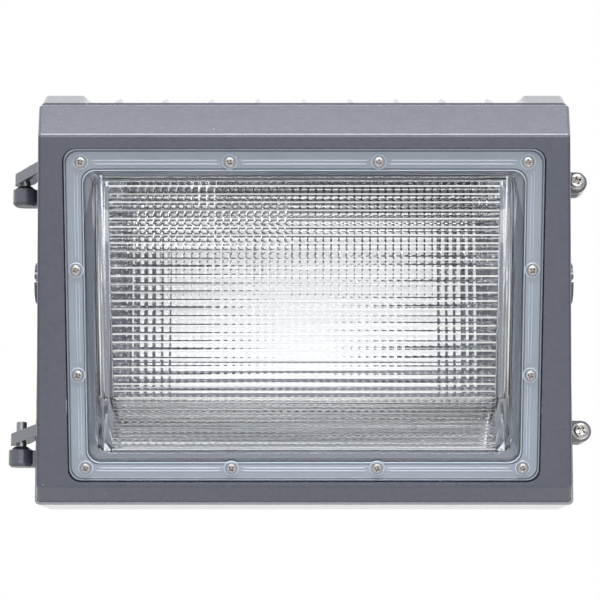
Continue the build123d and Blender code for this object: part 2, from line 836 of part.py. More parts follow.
# ------------------------------------------------------------------ screws
def pan_screws(plane, points, head_radius, head_height, shank_radius, length):
    """Pan-head screws whose heads stand on the plane, one at each point."""
    with BuildPart() as screws:
        with BuildSketch(plane):
            with Locations(*points):
                small_round(head_radius)
        extrude(amount=head_height)
        rims = screws.edges().filter_by(
            lambda e: plane.to_local_coords(e.center()).Z > head_height - slip_gap
        )
        chamfer(rims, head_height * head_bevel)
        with BuildSketch(plane):
            with Locations(*points):
                small_round(shank_radius)
        extrude(amount=-length)
    return screws.part


lens_screws = pan_screws(
    ring_front.offset(boss_height),
    lens_screw_points,
    lens_head_radius,
    lens_head_height,
    lens_screw_radius,
    lens_screw_length + boss_height,
)
lens_screws.label = "lens_screws"
export_step(lens_screws, "parts/lens_screws.step")

# closure screws, each with a split washer and a flat washer on the door's ear
ear_front_y = door_back_y - door_ear
split_front_y = ear_front_y - flat_washer_thickness - lock_washer_thickness
closure_length = housing_front_y + housing_ear - split_front_y
for name, closure_z in zip(("upper", "lower"), closure_zs):
    with BuildPart() as flat_washer:
        with BuildSketch(facing_front(ear_front_y)):
            with Locations((closure_x, closure_z)):
                RegularPolygon(flat_washer_radius, boss_sides)
                RegularPolygon(washer_bore, boss_sides, mode=Mode.SUBTRACT)
        extrude(amount=flat_washer_thickness)
    flat_washer.part.label = f"closure_washer_{name}"
    export_step(flat_washer.part, f"parts/closure_washer_{name}.step")

    with BuildPart() as split_washer:
        with BuildSketch(facing_front(ear_front_y - flat_washer_thickness)):
            with Locations((closure_x, closure_z)):
                RegularPolygon(lock_washer_radius, boss_sides)
                RegularPolygon(washer_bore, boss_sides, mode=Mode.SUBTRACT)
            with Locations((closure_x + lock_washer_radius, closure_z)):
                Rectangle(2 * (lock_washer_radius - washer_bore) + margin, lock_split, mode=Mode.SUBTRACT)
        extrude(amount=lock_washer_thickness)
    split_washer.part.label = f"closure_lock_washer_{name}"
    export_step(split_washer.part, f"parts/closure_lock_washer_{name}.step")

    with BuildPart() as closure_screw:
        add(
            pan_screws(
                facing_front(split_front_y),
                [(closure_x, closure_z)],
                closure_head_radius,
                closure_head_height,
                closure_shank,
                closure_length,
            )
        )
        # cross recess in the head
        with BuildSketch(facing_front(split_front_y - closure_head_height)):
            with Locations((closure_x, closure_z)):
                Rectangle(recess_length, recess_width, rotation=45)
                Rectangle(recess_length, recess_width, rotation=-45)
        extrude(amount=-recess_depth, mode=Mode.SUBTRACT)
    closure_screw.part.label = f"closure_screw_{name}"
    export_step(closure_screw.part, f"parts/closure_screw_{name}.step")

# ------------------------------------------------------------------ hinge pins
pin_stands = {"upper": (upper_arm_z, upper_pin_stand), "lower": (lower_arm_z, lower_pin_stand)}
for name, (arm_z, pin_stand) in pin_stands.items():
    pin_foot = arm_z - hinge_gap - barrel_height + barrel_floor
    pin_top = arm_z + arm_thickness + arm_drop / 2 + pin_stand
    with BuildPart() as hinge_pin:
        with BuildSketch(Plane.XY.offset(pin_foot)):
            with Locations((hinge_x, hinge_y)):
                Circle(pin_radius)
        extrude(amount=pin_top - pin_foot)
        chamfer(hinge_pin.edges().group_by(Axis.Z)[-1], pin_bevel)
    hinge_pin.part.label = f"hinge_pin_{name}"
    export_step(hinge_pin.part, f"parts/hinge_pin_{name}.step")

# ------------------------------------------------------------------ conduit plugs
plug_seat_x = entry_half + conduit_seat
plug_under_x = plug_seat_x + conduit_seal_thickness
with BuildPart() as conduit_plugs:
    for side in (-1, 1):
        with BuildSketch(Plane.YZ.offset(side * plug_under_x)):
            with Locations((conduit_y, conduit_z)):
                Circle(plug_head_radius)
        extrude(amount=side * plug_head_height)
        with BuildSketch(Plane.YZ.offset(side * plug_under_x)):
            with Locations((conduit_y, conduit_z)):
                Circle(conduit_radius - plug_gap)
        extrude(amount=-side * plug_body_length)
        with BuildSketch(Plane.YZ.offset(side * (plug_under_x + plug_head_height))):
            with Locations((conduit_y, conduit_z)):
                Rectangle(2 * plug_head_radius, plug_slot_width)
        extrude(amount=-side * plug_slot_depth, mode=Mode.SUBTRACT)
conduit_plugs.part.label = "conduit_plugs"
export_step(conduit_plugs.part, "parts/conduit_plugs.step")

with BuildPart() as conduit_seals:
    for side in (-1, 1):
        with BuildSketch(Plane.YZ.offset(side * plug_seat_x)):
            with Locations((conduit_y, conduit_z)):
                RegularPolygon(conduit_seal_radius, boss_sides)
                Circle(conduit_radius, mode=Mode.SUBTRACT)
        extrude(amount=side * conduit_seal_thickness)
conduit_seals.part.label = "conduit_seals"
export_step(conduit_seals.part, "parts/conduit_seals.step")

# ------------------------------------------------------------------ gear tray with the LED board
tray_mid_z = (tray_top_z + tray_bottom_z) / 2
tray_height = tray_top_z - tray_bottom_z
with BuildPart() as gear_tray:
    # a shallow tray of folded sheet, open to the wall
    with BuildSketch(facing_front(tray_front_y)):
        with Locations((0, tray_mid_z)):
            RectangleRounded(2 * tray_half_width, tray_height, tray_corner)
    extrude(amount=-(tray_sheet + tray_flange))
    with BuildSketch(facing_front(tray_back_y)):
        with Locations((0, tray_mid_z)):
            RectangleRounded(
                2 * (tray_half_width - tray_sheet), tray_height - 2 * tray_sheet, tray_corner - tray_sheet
            )
    extrude(amount=-tray_flange, mode=Mode.SUBTRACT)
    with BuildSketch(facing_front(tray_front_y)):
        with Locations(*post_points, *board_screw_points):
            small_hole(small_screw_radius + slip_gap)
        with Locations((grommet_x, grommet_z)):
            RegularPolygon(grommet_radius, boss_sides, major_radius=False)
    extrude(amount=-tray_sheet, mode=Mode.SUBTRACT)
gear_tray.part.label = "gear_tray"
export_step(gear_tray.part, "parts/gear_tray.step")

tray_screws = pan_screws(
    facing_front(tray_front_y),
    post_points,
    small_head_radius,
    small_head_height,
    small_screw_radius,
    small_screw_length,
)
tray_screws.label = "tray_screws"
export_step(tray_screws, "parts/tray_screws.step")

with BuildPart() as wire_grommet:
    with BuildSketch(facing_front(tray_back_y + grommet_lip)):
        with Locations((grommet_x, grommet_z)):
            RegularPolygon(grommet_radius + grommet_lip, boss_sides)
    extrude(amount=grommet_lip)
    with BuildSketch(facing_front(tray_front_y)):
        with Locations((grommet_x, grommet_z)):
            RegularPolygon(grommet_radius + grommet_lip, boss_sides)
    extrude(amount=grommet_lip)
    with BuildSketch(facing_front(tray_back_y)):
        with Locations((grommet_x, grommet_z)):
            RegularPolygon(grommet_radius - slip_gap, boss_sides)
    extrude(amount=tray_sheet)
    with BuildSketch(facing_front(tray_back_y + grommet_lip)):
        with Locations((grommet_x, grommet_z)):
            RegularPolygon(grommet_bore, boss_sides)
    extrude(amount=tray_sheet + 2 * grommet_lip, mode=Mode.SUBTRACT)
wire_grommet.part.label = "wire_grommet"
export_step(wire_grommet.part, "parts/wire_grommet.step")

board_front_y = tray_front_y - board_thickness
board_mid_z = (board_top_z + board_bottom_z) / 2
with BuildPart() as led_board:
    with BuildSketch(facing_front(tray_front_y)):
        with Locations((0, board_mid_z)):
            Rectangle(2 * board_half_width, board_top_z - board_bottom_z)
        with Locations(*board_screw_points):
            RegularPolygon(
                small_screw_radius + slip_gap, small_sides, major_radius=False, mode=Mode.SUBTRACT
            )
    extrude(amount=board_thickness)
led_board.part.label = "led_board"
export_step(led_board.part, "parts/led_board.step")

chip_pitch_x = 2 * (board_half_width - chip_margin_x) / (chip_columns - 1)
chip_pitch_z = (board_top_z - board_bottom_z - 2 * chip_margin_z) / (chip_rows - 1)
with BuildPart() as led_chips:
    with BuildSketch(facing_front(board_front_y)):
        with Locations((0, board_mid_z)):
            with GridLocations(chip_pitch_x, chip_pitch_z, chip_columns, chip_rows):
                Rectangle(chip_size, chip_size)
    extrude(amount=chip_height)
led_chips.part.label = "led_chips"
export_step(led_chips.part, "parts/led_chips.step")

board_screws = pan_screws(
    facing_front(board_front_y),
    board_screw_points,
    small_head_radius,
    small_head_height,
    small_screw_radius,
    board_screw_length,
)
board_screws.label = "board_screws"
export_step(board_screws, "parts/board_screws.step")

# ------------------------------------------------------------------ driver
driver_front_y = inner_face_y - driver_depth
with BuildPart() as driver_case:
    with BuildSketch(Plane.YZ.offset(-driver_length / 2)):
        with Locations((inner_face_y - driver_depth / 2, driver_z)):
            RectangleRounded(driver_depth, driver_height, driver_corner)
    extrude(amount=driver_length)
    # cooling grooves along the face
    with BuildSketch(Plane.YZ.offset(-driver_length / 2)):
        with Locations((driver_front_y, driver_z)):
            with GridLocations(0, driver_groove_pitch, 1, driver_grooves):
                Rectangle(2 * driver_groove_depth, driver_groove_width)
    extrude(amount=driver_length, mode=Mode.SUBTRACT)
driver_case.part.label = "driver_case"
export_step(driver_case.part, "parts/driver_case.step")

with BuildPart() as driver_end_caps:
    for side in (-1, 1):
        cap_plane = Plane.YZ.offset(side * driver_length / 2)
        with BuildSketch(cap_plane):
            with Locations((inner_face_y - driver_depth / 2, driver_z)):
                RectangleRounded(driver_depth, driver_height, driver_corner)
        extrude(amount=side * driver_cap)
        with BuildSketch(cap_plane):
            with Locations((inner_face_y - driver_foot_thickness / 2, driver_z)):
                Rectangle(driver_foot_thickness, driver_height - 2 * driver_corner)
        extrude(amount=side * (driver_cap + driver_foot))
    with BuildSketch(facing_front(inner_face_y)):
        with Locations(*driver_screw_points):
            small_hole(small_screw_radius + slip_gap)
    extrude(amount=driver_foot_thickness, mode=Mode.SUBTRACT)
driver_end_caps.part.label = "driver_end_caps"
export_step(driver_end_caps.part, "parts/driver_end_caps.step")

driver_screws = pan_screws(
    facing_front(inner_face_y - driver_foot_thickness),
    driver_screw_points,
    small_head_radius,
    small_head_height,
    small_screw_radius,
    driver_foot_thickness + plate_screw_depth,
)
driver_screws.label = "driver_screws"
export_step(driver_screws, "parts/driver_screws.step")

# ------------------------------------------------------------------ terminals
terminal_front_y = inner_face_y - terminal_depth
terminal_poles_x = [
    terminal_x + (i - (terminal_poles - 1) / 2) * terminal_pitch for i in range(terminal_poles)
]
terminal_pole_points = [(x, terminal_z) for x in terminal_poles_x]
with BuildPart() as terminal_block:
    with BuildSketch(facing_front(inner_face_y)):
        with Locations((terminal_x, terminal_z)):
            Rectangle(terminal_width, terminal_height)
    extrude(amount=terminal_foot)
    with BuildSketch(facing_front(inner_face_y)):
        with Locations((terminal_x, terminal_z)):
            Rectangle(terminal_pitch * terminal_poles, terminal_height)
    extrude(amount=terminal_depth)
    # wells over the clamping screws, and the wire entries through the block
    with BuildSketch(facing_front(terminal_front_y)):
        with Locations(*terminal_pole_points):
            small_hole(terminal_screw_radius + slip_gap)
    extrude(amount=-terminal_well, mode=Mode.SUBTRACT)
    with BuildSketch(Plane.XY.offset(terminal_z - terminal_height / 2)):
        with Locations(*[(x, inner_face_y - terminal_entry_y) for x in terminal_poles_x]):
            small_round(terminal_entry_radius)
    extrude(amount=terminal_height, mode=Mode.SUBTRACT)
    with BuildSketch(facing_front(inner_face_y)):
        with Locations(*terminal_fixing_points):
            small_hole(small_screw_radius + slip_gap)
    extrude(amount=terminal_foot, mode=Mode.SUBTRACT)
terminal_block.part.label = "terminal_block"
export_step(terminal_block.part, "parts/terminal_block.step")

with BuildPart() as terminal_screws:
    with BuildSketch(facing_front(terminal_front_y + terminal_well)):
        with Locations(*terminal_pole_points):
            small_round(terminal_screw_radius)
    extrude(amount=terminal_well - terminal_screw_sink)
    with BuildSketch(facing_front(terminal_front_y + terminal_screw_sink)):
        with Locations(*terminal_pole_points):
            Rectangle(2 * terminal_screw_radius, terminal_slot)
    extrude(amount=-terminal_slot, mode=Mode.SUBTRACT)
terminal_screws.part.label = "terminal_screws"
export_step(terminal_screws.part, "parts/terminal_screws.step")

terminal_fixing_screws = pan_screws(
    facing_front(inner_face_y - terminal_foot),
    terminal_fixing_points,
    small_head_radius,
    small_head_height,
    small_screw_radius,
    terminal_foot + plate_screw_depth,
)
terminal_fixing_screws.label = "terminal_fixing_screws"
export_step(terminal_fixing_screws, "parts/terminal_fixing_screws.step")

ground_front_y = inner_face_y - ground_boss_height
with BuildPart() as ground_washer:
    with BuildSketch(facing_front(ground_front_y)):
        with Locations((ground_x, ground_z)):
            RegularPolygon(ground_washer_radius, boss_sides)
            Circle(ground_shank_radius + slip_gap, mode=Mode.SUBTRACT)
    extrude(amount=ground_washer_thickness)
ground_washer.part.label = "ground_washer"
export_step(ground_washer.part, "parts/ground_washer.step")

ground_screw = pan_screws(
    facing_front(ground_front_y - ground_washer_thickness),
    [(ground_x, ground_z)],
    ground_head_radius,
    ground_head_height,
    ground_shank_radius,
    ground_boss_height,
)
ground_screw.label = "ground_screw"
export_step(ground_screw, "parts/ground_screw.step")
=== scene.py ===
import math

import bmesh
import bpy
import numpy as np
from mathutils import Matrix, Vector


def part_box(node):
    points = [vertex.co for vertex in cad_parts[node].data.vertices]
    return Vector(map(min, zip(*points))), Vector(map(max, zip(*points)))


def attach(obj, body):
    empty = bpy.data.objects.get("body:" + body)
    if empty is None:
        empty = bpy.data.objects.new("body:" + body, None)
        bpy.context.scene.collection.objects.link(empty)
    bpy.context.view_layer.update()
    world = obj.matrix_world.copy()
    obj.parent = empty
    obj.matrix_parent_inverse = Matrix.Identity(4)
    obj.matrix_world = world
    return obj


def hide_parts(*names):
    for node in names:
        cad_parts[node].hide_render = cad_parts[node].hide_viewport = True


bl_info = {
    "name": "Wall pack light",
    "version": (1, 0, 0),
    "blender": (4, 5, 0),
    "location": "3D View > Sidebar > Wall pack",
    "description": "Finishes and fine pieces for a cast wall pack light with a prismatic refractor",
    "category": "Object",
}

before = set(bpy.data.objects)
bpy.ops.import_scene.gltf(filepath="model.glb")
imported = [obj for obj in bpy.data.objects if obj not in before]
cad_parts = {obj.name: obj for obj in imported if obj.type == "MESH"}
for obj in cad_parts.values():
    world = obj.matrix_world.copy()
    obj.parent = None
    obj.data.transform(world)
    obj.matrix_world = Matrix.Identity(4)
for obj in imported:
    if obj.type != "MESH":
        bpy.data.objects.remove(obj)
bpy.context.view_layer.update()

# the slanted seat of the lens: its middle, and its directions across, up the slope and outwards
SEAT_TILT = math.atan2(0.078, 0.20115)
SEAT_MIDDLE = np.array([0.0, -0.118329, -0.024971])
ACROSS = np.array([1.0, 0.0, 0.0])
UP_SLOPE = np.array([0.0, -math.sin(SEAT_TILT), math.cos(SEAT_TILT)])
OUTWARDS = np.array([0.0, -math.cos(SEAT_TILT), -math.sin(SEAT_TILT)])
# the lens screws: eight in the rows above and below, four at the sides
LENS_SCREWS = np.array([(x, up) for up in (0.094097, -0.094097)
                        for x in (-0.132703, -0.044234, 0.044234, 0.132703)]
                       + [(x, up) for x in (-0.136403, 0.136403) for up in (0.0286, -0.036)])
# the dome seen from the side, up the slope and outwards: its top, its front corner and its bottom
DOME_OUTLINE = np.array([(0.086397, 0.0080), (-0.037097, 0.055887), (-0.084597, 0.0)])
# the dome's rows: their pitch, half their length, and how deep under the outline their faces reach
ROW_PITCH = 0.00487
ROW_HALF_LENGTH = 0.117
FACE_TOP, FACE_FOOT = 0.00003, 0.00106
# where a row's first point stands in the solid and how far apart the rest are, in shares of a row
FIRST_POINT, POINT_GAP = 0.17, 0.22
# the part of a row that carries a painted highlight, a whitish matte shader, in shares of the row,
# and how deep it reaches
HIGHLIGHT_START, HIGHLIGHT_END, HIGHLIGHT_FOOT = 0.62, 0.82, 0.0007
# the hollow of the rear housing: half its width and height, and where it starts and ends in depth
HOLLOW_SIDE, HOLLOW_TOP, HOLLOW_FRONT, HOLLOW_BACK = 0.1625, 0.1155, -0.0625, -0.0010
# the height of the brow's lower edge, and half the height that its white line, partly worn paint
# and partly painted highlight, may take up
BROW_EDGE, BROW_REACH = 0.0768, 0.0035
# the distance over which a mask goes from nothing to full
SOFT = 0.0005
# the stage
CAMERA_PLACE = (-0.0025, -1.6954, -0.2645)
CAMERA_TILT = math.radians(90 + 9)
CAMERA_LENS = 159.5
LAMP_TARGET = (0, -0.1, 0)
FLOOR_HALF_SIDE = 6.0


# ------------------------------------------------------------------ settings
class WallPackPaint(bpy.types.PropertyGroup):
    colour: bpy.props.FloatVectorProperty(
        name="Paint", description="Powder coat of the castings", subtype="COLOR",
        size=4, min=0, max=1, default=(0.066, 0.073, 0.104, 1))
    roughness: bpy.props.FloatProperty(
        name="Roughness", description="How dull the powder coat is", subtype="FACTOR",
        min=0, max=1, default=0.26)
    edge: bpy.props.FloatProperty(
        name="Edge", description="Radius that the castings' edges are rounded by",
        subtype="DISTANCE", unit="LENGTH", min=0.0001, max=0.003, default=0.0005)
    peel: bpy.props.FloatProperty(
        name="Orange peel", description="Width of the ripples in the powder coat",
        subtype="DISTANCE", unit="LENGTH", min=0.0002, max=0.01, default=0.0022)


class WallPackLens(bpy.types.PropertyGroup):
    tint: bpy.props.FloatVectorProperty(
        name="Tint", description="Colour of the clear refractor", subtype="COLOR",
        size=4, min=0, max=1, default=(0.97, 0.98, 0.985, 1))
    ior: bpy.props.FloatProperty(
        name="Index", description="Refractive index of the refractor", min=1, max=2, default=1.49)
    # painted highlight: how strongly the lower part of each row takes the whitish shader that
    # stands in for the lamps' glint
    highlight_frost: bpy.props.FloatProperty(
        name="Frost", description="How frosted the lower part of each row is", subtype="FACTOR",
        min=0, max=1, default=0.85)
    row_radius: bpy.props.FloatProperty(
        name="Row radius", description="Radius of a row's round face",
        subtype="DISTANCE", unit="LENGTH", min=0.003, max=0.02, default=0.0062)
    silicone: bpy.props.FloatVectorProperty(
        name="Silicone", description="Colour of the gasket ring", subtype="COLOR",
        size=4, min=0, max=1, default=(0.33, 0.375, 0.44, 1))


class WallPackHardware(bpy.types.PropertyGroup):
    lens_head: bpy.props.FloatProperty(
        name="Lens screw head", description="Radius of a lens screw's pan head",
        subtype="DISTANCE", unit="LENGTH", min=0.001, max=0.01, default=0.0031)
    closure_head: bpy.props.FloatProperty(
        name="Closure screw head", description="Radius of a closure screw's pan head",
        subtype="DISTANCE", unit="LENGTH", min=0.001, max=0.01, default=0.0046)
    steel: bpy.props.FloatVectorProperty(
        name="Steel", description="Colour of the bright screws", subtype="COLOR",
        size=4, min=0, max=1, default=(0.47, 0.455, 0.44, 1))


class WallPackStage(bpy.types.PropertyGroup):
    floor_height: bpy.props.FloatProperty(
        name="Floor", description="Height of the floor under the light",
        subtype="DISTANCE", unit="LENGTH", min=-3, max=0, default=-0.62)
    top_lamp: bpy.props.FloatProperty(
        name="Top lamp", description="Power of the large lamp above", unit="POWER",
        min=0, max=500, default=31)
    front_lamp: bpy.props.FloatProperty(
        name="Front lamp", description="Power of the soft lamp beside the camera", unit="POWER",
        min=0, max=500, default=11)
    sky: bpy.props.FloatProperty(
        name="Surroundings", description="Brightness of the white room",
        min=0, max=2, default=0.29)


# ------------------------------------------------------------------ meshes
def on_seat(x, up, out):
    """Points of the seat: across, up the slope and outwards from the ring's front, in metres."""
    return (SEAT_MIDDLE + np.multiply.outer(x, ACROSS) + np.multiply.outer(up, UP_SLOPE)
            + np.multiply.outer(out, OUTWARDS))


def set_piece(mesh, material, body, replaced, sharp=35):
    """A mesh becomes an object at the origin that rides on a body and stands for CAD nodes."""
    mesh.shade_smooth()
    mesh.set_sharp_from_angle(angle=math.radians(sharp))
    mesh.materials.clear()
    mesh.materials.append(material)
    piece = bpy.data.objects.new(mesh.name, mesh)
    bpy.context.scene.collection.objects.link(piece)
    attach(piece, body)
    if replaced:
        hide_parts(*replaced)
    return piece


def make_piece(name, points, faces, material, body, slot_name, replaced):
    """A piece from points and faces, whose faces all point outwards."""
    mesh = bpy.data.meshes.new(name)
    mesh.from_pydata(np.asarray(points).tolist(), [], faces)
    mesh.validate()
    shape = bmesh.new()
    shape.from_mesh(mesh)
    bmesh.ops.recalc_face_normals(shape, faces=shape.faces)
    shape.to_mesh(mesh)
    shape.free()
    return set_piece(mesh, material, body, replaced)


def joined_copy(node, name):
    """A copy of a CAD node's mesh with its loose triangles joined."""
    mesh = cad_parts[node].data.copy()
    mesh.name = name
    shape = bmesh.new()
    shape.from_mesh(mesh)
    bmesh.ops.remove_doubles(shape, verts=shape.verts, dist=2e-6)
    shape.to_mesh(mesh)
    shape.free()
    return mesh


def grid_faces(rows, columns, start=0):
    """Quads of a grid of rows that closes on itself across its columns."""
    i, j = np.meshgrid(np.arange(rows - 1), np.arange(columns), indexing="ij")
    a = i * columns + j
    b = i * columns + (j + 1) % columns
    quads = np.stack([a, b, b + columns, a + columns], axis=-1).reshape(-1, 4) + start
    return quads


def turned(radii, heights, sides, sink=None):
    """A profile (radius, height) turned about z: the point at angle t is (r cos t, r sin t, h).

    The first and last radius are zero, and those rings close to a single point each. sink is
    taken off the height of every point, and is a function of x, y and that height.
    """
    angle = np.linspace(0, 2 * math.pi, sides, endpoint=False)
    r, t = np.meshgrid(radii[1:-1], angle, indexing="ij")
    h = np.repeat(np.asarray(heights[1:-1])[:, None], sides, axis=1)
    x, y = r * np.cos(t), r * np.sin(t)
    if sink is not None:
        h = h - sink(x, y, h)
    ring = np.stack([x, y, h], axis=-1).reshape(-1, 3)
    top = heights[0] - (sink(np.zeros(1), np.zeros(1), np.full(1, heights[0]))[0] if sink else 0)
    points = np.vstack([ring, [[0, 0, top]], [[0, 0, heights[-1]]]])
    quads = grid_faces(len(radii) - 2, sides).tolist()
    first, last = len(ring), len(ring) + 1
    end = (len(radii) - 3) * sides
    fans = [[first, (j + 1) % sides, j] for j in range(sides)]
    fans += [[last, end + j, end + (j + 1) % sides] for j in range(sides)]
    faces = [q[::-1] for q in quads] + fans
    return points, faces


def rounded_outline(half_width, low, high, radius, side_steps, corner_steps):
    """Points round a rectangle with quarter circles at its corners, anticlockwise.

    The corner about (a, b) is (a + r cos t, b + r sin t) over a quarter turn, and the runs
    between two corners are even steps from the end of one to the start of the next.
    """
    a = half_width - radius
    middles = np.array([(a, high - radius), (-a, high - radius),
                        (-a, low + radius), (a, low + radius)])
    t = (np.arange(4)[:, None] + np.linspace(0, 1, corner_steps)[None, :]) * math.pi / 2
    arcs = middles[:, None, :] + radius * np.stack([np.cos(t), np.sin(t)], axis=-1)
    share = np.linspace(0, 1, side_steps)[1:-1, None]
    ends, starts = arcs[:, -1], np.roll(arcs[:, 0], -1, axis=0)
    runs = ends[:, None, :] * (1 - share) + starts[:, None, :] * share
    return np.concatenate([arcs, runs], axis=1).reshape(-1, 2)


def ring_points():
    """The gasket ring: a closed profile carried round two rounded rectangles, in millimetres.

    A profile point (t, h) stands t of the way from the outer outline to the inner one, h above
    the ring's front. Two ridges, exp(-(t - t0)^2), fade out towards each screw.
    """
    outer = rounded_outline(143.0, -102.297, 102.297, 7.5, 160, 12)
    inner = rounded_outline(131.2, -90.397, 88.5, 8.0, 160, 12)
    t = np.array([0, 0, 0.012, 0.035, 0.06, 0.085, 0.1, 0.125, 0.145, 0.16, 0.175, 0.2, 0.28,
                  0.36, 0.44, 0.49, 0.515, 0.527, 0.54, 0.553, 0.567, 0.6, 0.65, 0.665, 0.677,
                  0.69, 0.703, 0.715, 0.75, 0.84, 0.88, 0.9, 0.92, 0.935, 0.95, 0.965, 0.98,
                  0.99, 1.0, 1.0,
                  0.08, 0.08, 1.0, 1.0])
    h = np.interp(t, [0, 0.012, 0.035, 0.06, 0.085, 0.1, 0.125, 0.145, 0.16, 0.175, 0.2, 0.3,
                      0.88, 0.9, 0.92, 0.935, 0.95, 0.965, 0.98, 0.99, 1.0],
                  [-0.7, -0.3, 0.1, 0.2, 0.0, -0.45, -0.5, 0.0, 0.22, 0.0, -0.08, 0.03, 0.03, -0.4,
                   -0.45, 0.0, 0.35, 0.4, 0.25, 0.0, -0.3])
    h[0] = -4.5
    h[-5:] = [-0.95, -0.95, -3.55, -3.55, -4.5]
    ridge = 0.38 * (np.exp(-((t - 0.54) / 0.022) ** 2) + np.exp(-((t - 0.69) / 0.022) ** 2))
    ridge[-5:] = 0
    flat = outer[:, None, :] * (1 - t[None, :, None]) + inner[:, None, :] * t[None, :, None]
    away = np.min(np.linalg.norm(flat[:, 20, None, :] - LENS_SCREWS[None] * 1000, axis=-1), axis=1)
    fade = np.clip((away - 6.3) / 1.6, 0, 1)
    height = h[None, :] + ridge[None, :] * fade[:, None]
    points = on_seat(flat[..., 0] / 1000, flat[..., 1] / 1000, height / 1000)
    return points.reshape(-1, 3), loop_faces(len(outer), t.size)


def lip_points():
    """The casting's lip behind the dome's edge: a flat frame between two rounded rectangles."""
    outer = rounded_outline(0.1300, -0.0885, 0.0880, 0.006, 40, 10)
    inner = rounded_outline(0.1165, -0.0815, 0.0830, 0.009, 40, 10)
    corners = ((outer, -0.0037), (inner, -0.0037), (inner, -0.00445), (outer, -0.00445))
    points = np.stack([on_seat(line[:, 0], line[:, 1], np.full(len(line), out))
                       for line, out in corners], axis=1)
    return points.reshape(-1, 3), loop_faces(len(outer), 4)


def loop_faces(rows, columns):
    """Quads of a grid that closes on itself both ways."""
    i, j = np.meshgrid(np.arange(rows), np.arange(columns), indexing="ij")
    k, m = (i + 1) % rows, (j + 1) % columns
    quads = [i * columns + j, k * columns + j, k * columns + m, i * columns + m]
    return np.stack(quads, axis=-1).reshape(-1, 4).tolist()


def gather(parts):
    """Several (points, faces) as one."""
    points, faces, count = [], [], 0
    for p, f in parts:
        points.append(p)
        faces += [[v + count for v in face] for face in f]
        count += len(p)
    return np.vstack(points), faces


def cross_recess(length, width, depth, edge, angle):
    """The hollow of a cross driver: two crossed bars, deepest in the middle, with sloped ends."""
    def sink(x, y, height):
        u = x * math.cos(angle) + y * math.sin(angle)
        v = -x * math.sin(angle) + y * math.cos(angle)
        reach = np.clip((length - np.maximum(abs(u), abs(v))) / (0.45 * length), 0, 1)
        bar = np.clip((width - np.minimum(abs(u), abs(v))) / edge, 0, 1)
        return np.where(height > 0, depth * np.minimum(bar, reach), 0)
    return sink


def pan_screw(head, height, shank, length, recess, sides=72):
    """A pan head with a cross recess over a plain shank, on z = 0 and pointing along +z."""
    share = np.array([0, 0.08, 0.16, 0.24, 0.32, 0.4, 0.48, 0.56, 0.64, 0.72, 0.8, 0.87, 0.93,
                      0.975, 1.0])
    crown = height * (0.62 + 0.38 * np.sqrt(np.clip(1 - (share / 1.02) ** 3.2, 0, 1)))
    radii = np.concatenate([share * head, [head, head * 0.97, shank, shank, shank * 0.7, 0]])
    heights = np.concatenate([crown, [height * 0.12, 0, 0, -length + shank * 0.3, -length,
                                      -length]])
    return turned(radii, heights, sides, recess)


def placed(points, middle, x_axis, y_axis, z_axis):
    """Local points carried to a place whose three directions are given."""
    return np.asarray(middle) + points @ np.array([x_axis, y_axis, z_axis], float)


